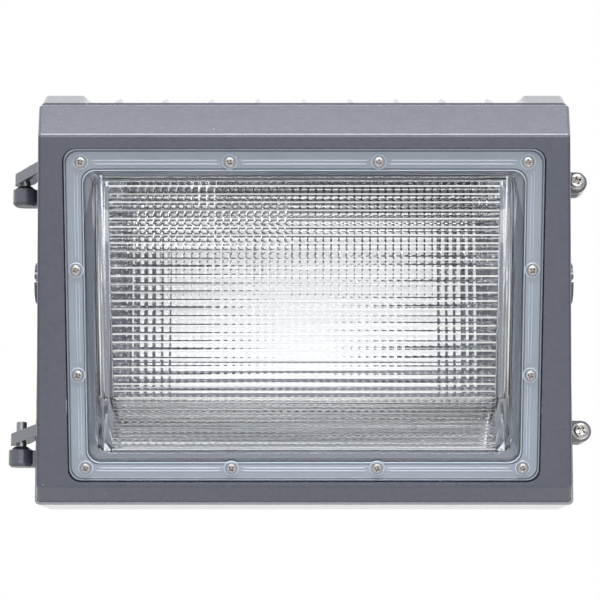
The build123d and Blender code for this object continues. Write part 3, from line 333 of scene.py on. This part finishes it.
# ------------------------------------------------------------------ materials
class Finish:
    """A node material under construction."""

    def __init__(self, name):
        self.material = bpy.data.materials.new(name)
        self.material.use_nodes = True
        self.tree = self.material.node_tree
        self.shader = self.tree.nodes["Principled BSDF"]
        self.output = self.tree.nodes["Material Output"]
        self.place = self.add("ShaderNodeTexCoord").outputs["Object"]

    def add(self, kind, **settings):
        node = self.tree.nodes.new(kind)
        for key, value in settings.items():
            setattr(node, key, value)
        return node

    def link(self, a, b):
        self.tree.links.new(a, b)

    def set(self, **values):
        """Numbers and colours on the shader's own sockets."""
        for key, value in values.items():
            self.shader.inputs[key.replace("_", " ")].default_value = value

    def noise(self, size, detail=4, rough=0.55, stretch=(1, 1, 1)):
        """Noise whose blobs are about size metres wide."""
        mapping = self.add("ShaderNodeMapping")
        mapping.inputs["Scale"].default_value = [s / size for s in stretch]
        self.link(self.place, mapping.inputs["Vector"])
        noise = self.add("ShaderNodeTexNoise")
        noise.inputs["Scale"].default_value = 1
        noise.inputs["Detail"].default_value = detail
        noise.inputs["Roughness"].default_value = rough
        self.link(mapping.outputs[0], noise.inputs["Vector"])
        return noise.outputs[0]

    def ramp(self, value, low, high):
        """Black below low, white above high, and even change between."""
        ramp = self.add("ShaderNodeValToRGB")
        ramp.color_ramp.elements[0].position = low
        ramp.color_ramp.elements[1].position = high
        ramp.color_ramp.elements[0].color = (0, 0, 0, 1)
        ramp.color_ramp.elements[1].color = (1, 1, 1, 1)
        self.link(value, ramp.inputs[0])
        return ramp.outputs[0]

    def blend(self, share, a, b):
        """Mix of two colours, each a colour or a socket."""
        mix = self.add("ShaderNodeMix", data_type="RGBA")
        self.link(share, mix.inputs[0])
        for socket, value in ((mix.inputs[6], a), (mix.inputs[7], b)):
            if hasattr(value, "is_output"):
                self.link(value, socket)
            else:
                socket.default_value = value
        return mix.outputs[2]

    def span(self, value, low, high):
        """Carries 0..1 to low..high."""
        node = self.add("ShaderNodeMapRange")
        node.inputs["To Min"].default_value = low
        node.inputs["To Max"].default_value = high
        self.link(value, node.inputs["Value"])
        return node.outputs[0]

    def signed(self, name):
        """Where a point is along X, Y or Z, in metres."""
        split = self.add("ShaderNodeSeparateXYZ")
        self.link(self.place, split.inputs[0])
        return split.outputs[name]

    def axis(self, name):
        """How far from the object's middle a point is along X, Y or Z, always positive."""
        size = self.add("ShaderNodeMath", operation="ABSOLUTE")
        self.link(self.signed(name), size.inputs[0])
        return size.outputs[0]

    def step(self, value, low, high):
        """0 below low, 1 above high, and smooth between; the other way round if high is lower."""
        node = self.add("ShaderNodeMapRange", interpolation_type="SMOOTHSTEP")
        node.inputs["From Min"].default_value = low
        node.inputs["From Max"].default_value = high
        self.link(value, node.inputs["Value"])
        return node.outputs[0]

    def band(self, name, middle, half):
        """1 within half of a middle along an axis, on both sides of zero, and 0 beyond."""
        value = self.axis(name)
        return self.product(self.step(value, middle - half - SOFT, middle - half),
                            self.step(value, middle + half + SOFT, middle + half))

    def rounding(self, radius):
        """The normal of edges rounded by a radius, and how much an edge turns it: 0 to 1."""
        bevel = self.add("ShaderNodeBevel", samples=6)
        bevel.inputs["Radius"].default_value = radius
        flat = self.add("ShaderNodeNewGeometry")
        dot = self.add("ShaderNodeVectorMath", operation="DOT_PRODUCT")
        self.link(bevel.outputs[0], dot.inputs[0])
        self.link(flat.outputs["Normal"], dot.inputs[1])
        turn = self.add("ShaderNodeMapRange")
        turn.inputs["From Min"].default_value = 1.0
        turn.inputs["From Max"].default_value = 0.97
        self.link(dot.outputs["Value"], turn.inputs["Value"])
        return bevel.outputs[0], turn.outputs[0]

    def product(self, a, b):
        """Two values multiplied."""
        node = self.add("ShaderNodeMath", operation="MULTIPLY")
        self.link(a, node.inputs[0])
        self.link(b, node.inputs[1])
        return node.outputs[0]

    def bump(self, *layers, start=None):
        """Layers of (height socket, depth in metres), each laid over the one before."""
        last = start
        for height, depth in layers:
            bump = self.add("ShaderNodeBump")
            bump.inputs["Strength"].default_value = 1
            bump.inputs["Distance"].default_value = depth
            self.link(height, bump.inputs["Height"])
            if last is not None:
                self.link(last, bump.inputs["Normal"])
            last = bump.outputs[0]
        self.link(last, self.shader.inputs["Normal"])


def shaded(colour, factor):
    """A colour made darker or lighter."""
    return (*[min(1, c * factor) for c in colour[:3]], 1)


def hollow_mask(f):
    """1 in the hollow of the rear housing, and 0 elsewhere."""
    across = f.product(f.step(f.axis("X"), HOLLOW_SIDE, HOLLOW_SIDE - SOFT),
                       f.step(f.axis("Z"), HOLLOW_TOP, HOLLOW_TOP - SOFT))
    deep = f.product(f.step(f.signed("Y"), HOLLOW_FRONT, HOLLOW_FRONT + SOFT),
                     f.step(f.signed("Y"), HOLLOW_BACK, HOLLOW_BACK - SOFT))
    return f.product(across, deep)


def paint(name, settings):
    """Glossy powder coat: fine orange peel, an uneven tone, bright worn edges, a white brow line of
    worn paint and painted highlight, paler paint in the hollow as painted light, and a few specks.
    """
    f = Finish(name)
    colour = settings.colour
    normal, edge = f.rounding(settings.edge)
    brow_edge = f.product(edge, f.band("Z", BROW_EDGE, BROW_REACH))
    tone = f.blend(f.noise(0.045, 3), shaded(colour, 0.88), shaded(colour, 1.12))
    mottle = f.blend(f.ramp(f.noise(0.0035, 3), 0.35, 0.7), tone, shaded(colour, 1.16))
    specks = f.ramp(f.noise(0.0023, 2, 0.4), 0.785, 0.8)
    worn = f.product(edge, f.ramp(f.noise(0.006, 4, 0.7), 0.45, 0.65))
    base = f.blend(specks, mottle, (0.42, 0.44, 0.47, 1))
    base = f.blend(worn, base, shaded(colour, 2.2))
    # the hollow of the housing is duller, and its paint is made paler as painted light, so that the
    # inside seen through the lens looks brighter
    hollow = hollow_mask(f)
    inside = f.blend(f.noise(0.0035, 3), shaded(colour, 2.3), shaded(colour, 2.9))
    base = f.blend(hollow, base, inside)
    # painted highlight: a white line along the brow's lower edge, partly worn paint and partly the
    # glint of the lamp above
    rubbed_and_highlight = f.product(brow_edge,
                       f.ramp(f.noise(0.011, 4, 0.7, stretch=(0.5, 1, 1)), 0.36, 0.44))
    f.link(f.blend(rubbed_and_highlight, base, (0.93, 0.93, 0.95, 1)), f.shader.inputs["Base Color"])
    gloss = f.span(f.noise(0.012, 4), settings.roughness - 0.05, settings.roughness + 0.07)
    f.link(gloss, f.shader.inputs["Roughness"])
    f.link(f.span(hollow, 0.9, 0.0), f.shader.inputs["Coat Weight"])
    f.set(Specular_IOR_Level=0.5, Coat_Roughness=0.07, Coat_IOR=1.5)
    f.bump((f.noise(settings.peel, 2, 0.5), 0.00005), (f.noise(0.0004, 1), 0.00001), start=normal)
    return f.material


def steel(name, colour, roughness=0.22):
    """Bright plated steel with faint turning marks."""
    f = Finish(name)
    f.link(f.blend(f.noise(0.0012, 3), shaded(colour, 0.86), shaded(colour, 1.08)),
           f.shader.inputs["Base Color"])
    f.link(f.span(f.noise(0.0007, 3), roughness - 0.07, roughness + 0.12),
           f.shader.inputs["Roughness"])
    f.set(Metallic=1.0)
    f.bump((f.noise(0.0005, 2), 0.00001))
    return f.material


def moulded(name, colour, roughness):
    """Moulded or coated stuff with a fine grain."""
    f = Finish(name)
    f.link(f.blend(f.noise(0.02, 4), shaded(colour, 0.94), shaded(colour, 1.05)),
           f.shader.inputs["Base Color"])
    f.link(f.span(f.noise(0.006, 3), roughness - 0.06, roughness + 0.08),
           f.shader.inputs["Roughness"])
    f.bump((f.noise(0.0008, 2), 0.00002))
    return f.material


def silicone(name, colour):
    """Glossy translucent rubber: painted highlight where it stands up, painted shade in its
    grooves.
    """
    f = Finish(name)
    dot = f.add("ShaderNodeVectorMath", operation="DOT_PRODUCT")
    dot.inputs[1].default_value = tuple(OUTWARDS)
    f.link(f.place, dot.inputs[0])
    front = float(SEAT_MIDDLE @ OUTWARDS)
    height = f.step(dot.outputs["Value"], front - 0.0005, front + 0.0005)
    tone = f.blend(f.noise(0.02, 4), shaded(colour, 0.9), shaded(colour, 1.1))
    # painted shade: darker where the ring sinks into grooves; painted highlight: paler where its
    # ridges and beads stand up
    low = f.blend(f.ramp(height, 0.0, 0.42), shaded(colour, 0.35), tone)
    f.link(f.blend(f.ramp(height, 0.62, 0.95), low, shaded(colour, 1.9)),
           f.shader.inputs["Base Color"])
    f.link(f.span(f.noise(0.006, 3), 0.16, 0.3), f.shader.inputs["Roughness"])
    f.set(Subsurface_Weight=0.05, Subsurface_Scale=0.001, Coat_Weight=0.6, Coat_Roughness=0.1)
    f.bump((f.noise(0.003, 2), 0.00004))
    return f.material


def clear(name, settings):
    """Clear moulded refractor; light for the inside passes it unbent.

    The attribute band marks the part of each row's face that gets a whitish matte shader as a
    painted highlight.
    """
    f = Finish(name)
    f.set(Base_Color=tuple(settings.tint), IOR=settings.ior, Transmission_Weight=1.0,
          Coat_Weight=0.3, Coat_Roughness=0.02)
    border = f.step(f.axis("X"), 0.1125, 0.1185)
    f.link(f.span(border, 0.01, 0.06), f.shader.inputs["Roughness"])
    # painted highlight: a whitish, partly clear shader on the band of each row
    highlight_frosted = f.add("ShaderNodeBsdfPrincipled")
    highlight_frosted.inputs["Base Color"].default_value = (0.93, 0.94, 0.95, 1)
    highlight_frosted.inputs["Roughness"].default_value = 0.3
    highlight_frosted.inputs["Transmission Weight"].default_value = 0.25
    share = f.add("ShaderNodeAttribute", attribute_name="band").outputs["Fac"]
    surface = f.add("ShaderNodeMixShader")
    f.link(share, surface.inputs[0])
    f.link(f.shader.outputs[0], surface.inputs[1])
    f.link(highlight_frosted.outputs[0], surface.inputs[2])
    path = f.add("ShaderNodeLightPath")
    through = f.add("ShaderNodeBsdfTransparent")
    through.inputs[0].default_value = (0.95, 0.955, 0.96, 1)
    mix = f.add("ShaderNodeMixShader")
    f.link(path.outputs["Is Shadow Ray"], mix.inputs[0])
    f.link(surface.outputs[0], mix.inputs[1])
    f.link(through.outputs[0], mix.inputs[2])
    f.link(mix.outputs[0], f.output.inputs["Surface"])
    return f.material


def row_places(points):
    """Where points are on the dome's two bands of rows, seen from the side.

    A band runs from one corner of the dome's outline to the next. Each is given as the direction
    along it and out of it, a row's pitch, the band's length, how far along it each point is and
    how deep under it.
    """
    middle = points - SEAT_MIDDLE
    seen = np.stack([middle @ UP_SLOPE, middle @ OUTWARDS], axis=-1)
    for start, end in zip(DOME_OUTLINE, DOME_OUTLINE[1:]):
        length = np.linalg.norm(end - start)
        along = (end - start) / length
        out = np.array([along[1], -along[0]])
        pitch = length / round(length / ROW_PITCH)
        yield along, out, pitch, length, (seen - start) @ along, -(seen - start) @ out


def round_rows(mesh, radius):
    """Carries the rows' points to round faces that meet in cusps.

    At x from a row's middle a face of radius r is x^2 / 2r deep.

    The rows of the upright front start part of a row down, and the last two make up for it.
    """
    points = np.empty(len(mesh.vertices) * 3)
    mesh.vertices.foreach_get("co", points)
    points = points.reshape(-1, 3)
    for (along, out, pitch, length, run, depth), shift in zip(row_places(points), (0.4, 0)):
        row = np.floor(run / pitch)
        step = np.round((run / pitch - row - FIRST_POINT) / POINT_GAP) + 1
        left = np.clip((length - run) / (2 * pitch), 0, 1)
        # a row's points stand a fifth of a row apart
        new_run = (row + 0.2 * step + shift * left) * pitch
        new_depth = 0.00005 + ((0.2 * step - 0.5) * pitch) ** 2 / (2 * radius)
        chosen = ((depth > FACE_TOP) & (depth < FACE_FOOT) & (run > 0.0004)
                  & (run < length - 0.0004) & (abs(points[:, 0]) < ROW_HALF_LENGTH))
        move = np.outer(new_run - run, along) - np.outer(new_depth - depth, out)
        points += np.where(chosen[:, None], move[:, :1] * UP_SLOPE + move[:, 1:] * OUTWARDS, 0)
    mesh.vertices.foreach_set("co", points.ravel())
    mesh.update()


def mark_rows(mesh, highlight_frost):
    """Writes the attribute band on the lower part of each row's face, where light glances off; the
    lens paints that glint there as a whitish shader, a painted highlight.
    """
    middles = np.empty(len(mesh.polygons) * 3)
    mesh.polygons.foreach_get("center", middles)
    band = np.zeros(len(mesh.polygons), np.float32)
    for _, _, pitch, length, run, depth in row_places(middles.reshape(-1, 3)):
        share = run / pitch % 1
        chosen = ((share > HIGHLIGHT_START) & (share < HIGHLIGHT_END)
                  & (depth > FACE_TOP) & (depth < HIGHLIGHT_FOOT))
        # painted highlight: these faces take the whitish shader
        band[chosen & (run > 0) & (run < length)] = highlight_frost
    mesh.attributes.new("band", "FLOAT", "FACE").data.foreach_set("value", band)


def dress(node, material):
    """A CAD node keeps its shape and gets a finish."""
    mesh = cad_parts[node].data
    mesh.materials.clear()
    mesh.materials.append(material)


# ------------------------------------------------------------------ operators
class WallPackOperator:
    bl_options = {"REGISTER", "UNDO"}


class WALLPACK_OT_castings(WallPackOperator, bpy.types.Operator):
    """Powder coat on the rear housing, the door and the conduit plugs"""
    bl_idname = "wallpack.castings"
    bl_label = "Castings"

    def execute(self, context):
        coat = paint("powder_coat", context.scene.wall_pack_paint)
        for node in ("rear_housing", "door_frame", "conduit_plugs"):
            dress(node, coat)
        lip = moulded("lip_coat", (0.15, 0.165, 0.2, 1), 0.4)
        make_piece("window_lip", *lip_points(), lip, "door", "housing_paint", [])
        return {"FINISHED"}


class WALLPACK_OT_refractor(WallPackOperator, bpy.types.Operator):
    """Clear prismatic refractor and the silicone ring around its flange"""
    bl_idname = "wallpack.refractor"
    bl_label = "Refractor"

    def execute(self, context):
        lens = context.scene.wall_pack_lens
        dome = joined_copy("refractor_lens", "prism_dome")
        # painted highlight on the lower part of each row
        mark_rows(dome, lens.highlight_frost)
        round_rows(dome, lens.row_radius)
        set_piece(dome, clear("clear_refractor", lens), "door",
                  ["refractor_lens"], sharp=22)

        ring = ring_points()
        radii = np.array([0, 3.3, 3.5, 3.8, 4.05, 4.25, 4.45, 4.7, 4.7, 0]) / 1000
        heights = np.array([0.1, 0.1, 0.08, 0.12, 0.2, 0.45, 0.4, 0.1, -0.4, -0.4]) / 1000
        bosses = []
        for x, up in LENS_SCREWS:
            points, faces = turned(radii, heights, 48)
            bosses.append((placed(points, on_seat(x, up, 0), ACROSS, UP_SLOPE, OUTWARDS), faces))
        make_piece("gasket_ring", *gather([ring, *bosses]), silicone("silicone", lens.silicone),
                   "door", "silicone", ["lens_gasket"])
        return {"FINISHED"}


class WALLPACK_OT_lens_screws(WallPackOperator, bpy.types.Operator):
    """Twelve small pan-head screws around the lens"""
    bl_idname = "wallpack.lens_screws"
    bl_label = "Lens screws"

    def execute(self, context):
        hardware = context.scene.wall_pack_hardware
        parts = []
        for i, (x, up) in enumerate(LENS_SCREWS):
            turn = 0.7 + 1.9 * i
            recess = cross_recess(0.0018, 0.00046, 0.0012, 0.00018, turn)
            points, faces = pan_screw(hardware.lens_head, 0.0019, 0.00145, 0.0124, recess)
            middle = on_seat(x, up, 0.0002)
            parts.append((placed(points, middle, ACROSS, UP_SLOPE, OUTWARDS), faces))
        make_piece("lens_screw_heads", *gather(parts), steel("lens_screw_steel", hardware.steel),
                   "door", "screw_steel", ["lens_screws"])
        return {"FINISHED"}


class WALLPACK_OT_closures(WallPackOperator, bpy.types.Operator):
    """Closure screws with their washers on the right"""
    bl_idname = "wallpack.closures"
    bl_label = "Closure screws"

    def execute(self, context):
        hardware = context.scene.wall_pack_hardware
        bright = steel("closure_steel", hardware.steel, 0.2)
        for name, turn in (("upper", 0.35), ("lower", 1.0)):
            low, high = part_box("closure_screw_" + name)
            middle = (low + high) / 2
            front = low.y + 0.0036
            recess = cross_recess(0.0027, 0.00062, 0.0019, 0.00025, turn)
            points, faces = pan_screw(hardware.closure_head, 0.0036, 0.0021, high.y - front, recess)
            shape = placed(points, (middle.x, front, middle.z), (1, 0, 0), (0, 0, 1), (0, -1, 0))
            make_piece("closure_head_" + name, shape, faces, bright, "closure_" + name,
                       "screw_steel", ["closure_screw_" + name])
            for node in ("closure_washer_", "closure_lock_washer_"):
                dress(node + name, bright)
        return {"FINISHED"}


class WALLPACK_OT_hinges(WallPackOperator, bpy.types.Operator):
    """Hinge pins"""
    bl_idname = "wallpack.hinges"
    bl_label = "Hinge pins"

    def execute(self, context):
        pin = steel("pin_steel", (0.30, 0.31, 0.33, 1), 0.35)
        for name in ("upper", "lower"):
            dress("hinge_pin_" + name, pin)
        return {"FINISHED"}


class WALLPACK_OT_inside(WallPackOperator, bpy.types.Operator):
    """Gear tray, LED board, driver, terminals and seals"""
    bl_idname = "wallpack.inside"
    bl_label = "Inside"

    def execute(self, context):
        steel_small = steel("small_screw_steel", (0.6, 0.6, 0.6, 1), 0.3)
        finishes = {
            moulded("tray_enamel", (0.88, 0.885, 0.895, 1), 0.3): ["gear_tray", "tray_screws"],
            moulded("board_mask", (0.89, 0.895, 0.90, 1), 0.35): ["led_board", "board_screws"],
            moulded("chip_resin", (0.88, 0.87, 0.80, 1), 0.25): ["led_chips"],
            moulded("seal_rubber", (0.018, 0.018, 0.02, 1), 0.6):
                ["door_seal", "conduit_seals", "wire_grommet"],
            steel("driver_aluminium", (0.62, 0.63, 0.65, 1), 0.35): ["driver_case"],
            moulded("cap_plastic", (0.03, 0.03, 0.032, 1), 0.5): ["driver_end_caps"],
            moulded("terminal_plastic", (0.72, 0.70, 0.62, 1), 0.4): ["terminal_block"],
            steel("terminal_brass", (0.75, 0.55, 0.25, 1), 0.25): ["terminal_screws"],
            moulded("ground_green", (0.03, 0.25, 0.08, 1), 0.35): ["ground_screw"],
            steel_small: ["driver_screws", "terminal_fixing_screws", "ground_washer"],
        }
        for material, nodes in finishes.items():
            for node in nodes:
                dress(node, material)
        return {"FINISHED"}


class WALLPACK_OT_stage(WallPackOperator, bpy.types.Operator):
    """Floor, white room, lamps and camera"""
    bl_idname = "wallpack.stage"
    bl_label = "Stage"

    def execute(self, context):
        scene = context.scene
        settings = scene.wall_pack_stage
        scene.view_settings.view_transform = "Standard"

        # white where the camera, a mirror or glass looks, and plain light for the rest
        world = bpy.data.worlds.new("white_room")
        scene.world = world
        world.use_nodes = True
        tree = world.node_tree
        background = tree.nodes["Background"]
        path = tree.nodes.new("ShaderNodeLightPath")
        seen = path.outputs["Is Camera Ray"]
        for ray in ("Is Glossy Ray", "Is Transmission Ray"):
            node = tree.nodes.new("ShaderNodeMath")
            node.operation = "MAXIMUM"
            tree.links.new(seen, node.inputs[0])
            tree.links.new(path.outputs[ray], node.inputs[1])
            seen = node.outputs[0]
        level = tree.nodes.new("ShaderNodeMapRange")
        level.inputs["To Min"].default_value = settings.sky
        tree.links.new(seen, level.inputs["Value"])
        tree.links.new(level.outputs[0], background.inputs["Strength"])
        background.inputs["Color"].default_value = (1, 1, 1, 1)

        floor = bpy.data.meshes.new("floor")
        side, z = FLOOR_HALF_SIDE, settings.floor_height
        floor.from_pydata([(-side, -side, z), (side, -side, z), (side, side, z), (-side, side, z)],
                          [], [(0, 1, 2, 3)])
        floor_object = bpy.data.objects.new("floor", floor)
        scene.collection.objects.link(floor_object)
        f = Finish("floor")
        f.set(Base_Color=(0.86, 0.86, 0.86, 1), Roughness=0.9)
        floor.materials.append(f.material)

        def lamp(name, place, width, height, power):
            data = bpy.data.lights.new(name, "AREA")
            data.shape = "RECTANGLE"
            data.size, data.size_y = width, height
            data.energy = power
            obj = bpy.data.objects.new(name, data)
            obj.location = place
            aim = Vector(LAMP_TARGET) - Vector(place)
            obj.rotation_euler = aim.to_track_quat("-Z", "Y").to_euler()
            scene.collection.objects.link(obj)

        lamp("top_lamp", (0, -0.75, 1.25), 1.5, 1.0, settings.top_lamp)
        lamp("front_lamp", (0.1, -2.2, -0.14), 1.8, 0.42, settings.front_lamp)

        camera = bpy.data.cameras.new("camera")
        camera.lens = CAMERA_LENS
        camera.sensor_width = 36
        camera.clip_end = 50
        eye = bpy.data.objects.new("camera", camera)
        eye.location = CAMERA_PLACE
        eye.rotation_euler = (CAMERA_TILT, 0, 0)
        scene.collection.objects.link(eye)
        scene.camera = eye
        return {"FINISHED"}


OPERATORS = (
    WALLPACK_OT_castings, WALLPACK_OT_refractor, WALLPACK_OT_lens_screws, WALLPACK_OT_closures,
    WALLPACK_OT_hinges, WALLPACK_OT_inside, WALLPACK_OT_stage,
)
SETTINGS = {
    "wall_pack_paint": WallPackPaint,
    "wall_pack_lens": WallPackLens,
    "wall_pack_hardware": WallPackHardware,
    "wall_pack_stage": WallPackStage,
}


class WALLPACK_PT_panel(bpy.types.Panel):
    """Pieces and finishes of the wall pack light"""
    bl_idname = "WALLPACK_PT_panel"
    bl_label = "Wall pack light"
    bl_space_type = "VIEW_3D"
    bl_region_type = "UI"
    bl_category = "Wall pack"

    def draw(self, context):
        for key, group in SETTINGS.items():
            box = self.layout.box()
            for name in group.__annotations__:
                box.prop(getattr(context.scene, key), name)
        for operator in OPERATORS:
            self.layout.operator(operator.bl_idname)


def register():
    for group in SETTINGS.values():
        bpy.utils.register_class(group)
    for key, group in SETTINGS.items():
        setattr(bpy.types.Scene, key, bpy.props.PointerProperty(type=group))
    for operator in OPERATORS:
        bpy.utils.register_class(operator)
    bpy.utils.register_class(WALLPACK_PT_panel)


def unregister():
    bpy.utils.unregister_class(WALLPACK_PT_panel)
    for operator in reversed(OPERATORS):
        bpy.utils.unregister_class(operator)
    for key, group in reversed(SETTINGS.items()):
        delattr(bpy.types.Scene, key)
        bpy.utils.unregister_class(group)


def main():
    register()
    bpy.ops.wallpack.castings()
    bpy.ops.wallpack.refractor()
    bpy.ops.wallpack.lens_screws()
    bpy.ops.wallpack.closures()
    bpy.ops.wallpack.hinges()
    bpy.ops.wallpack.inside()
    bpy.ops.wallpack.stage()


if __name__ == "__main__":
    main()
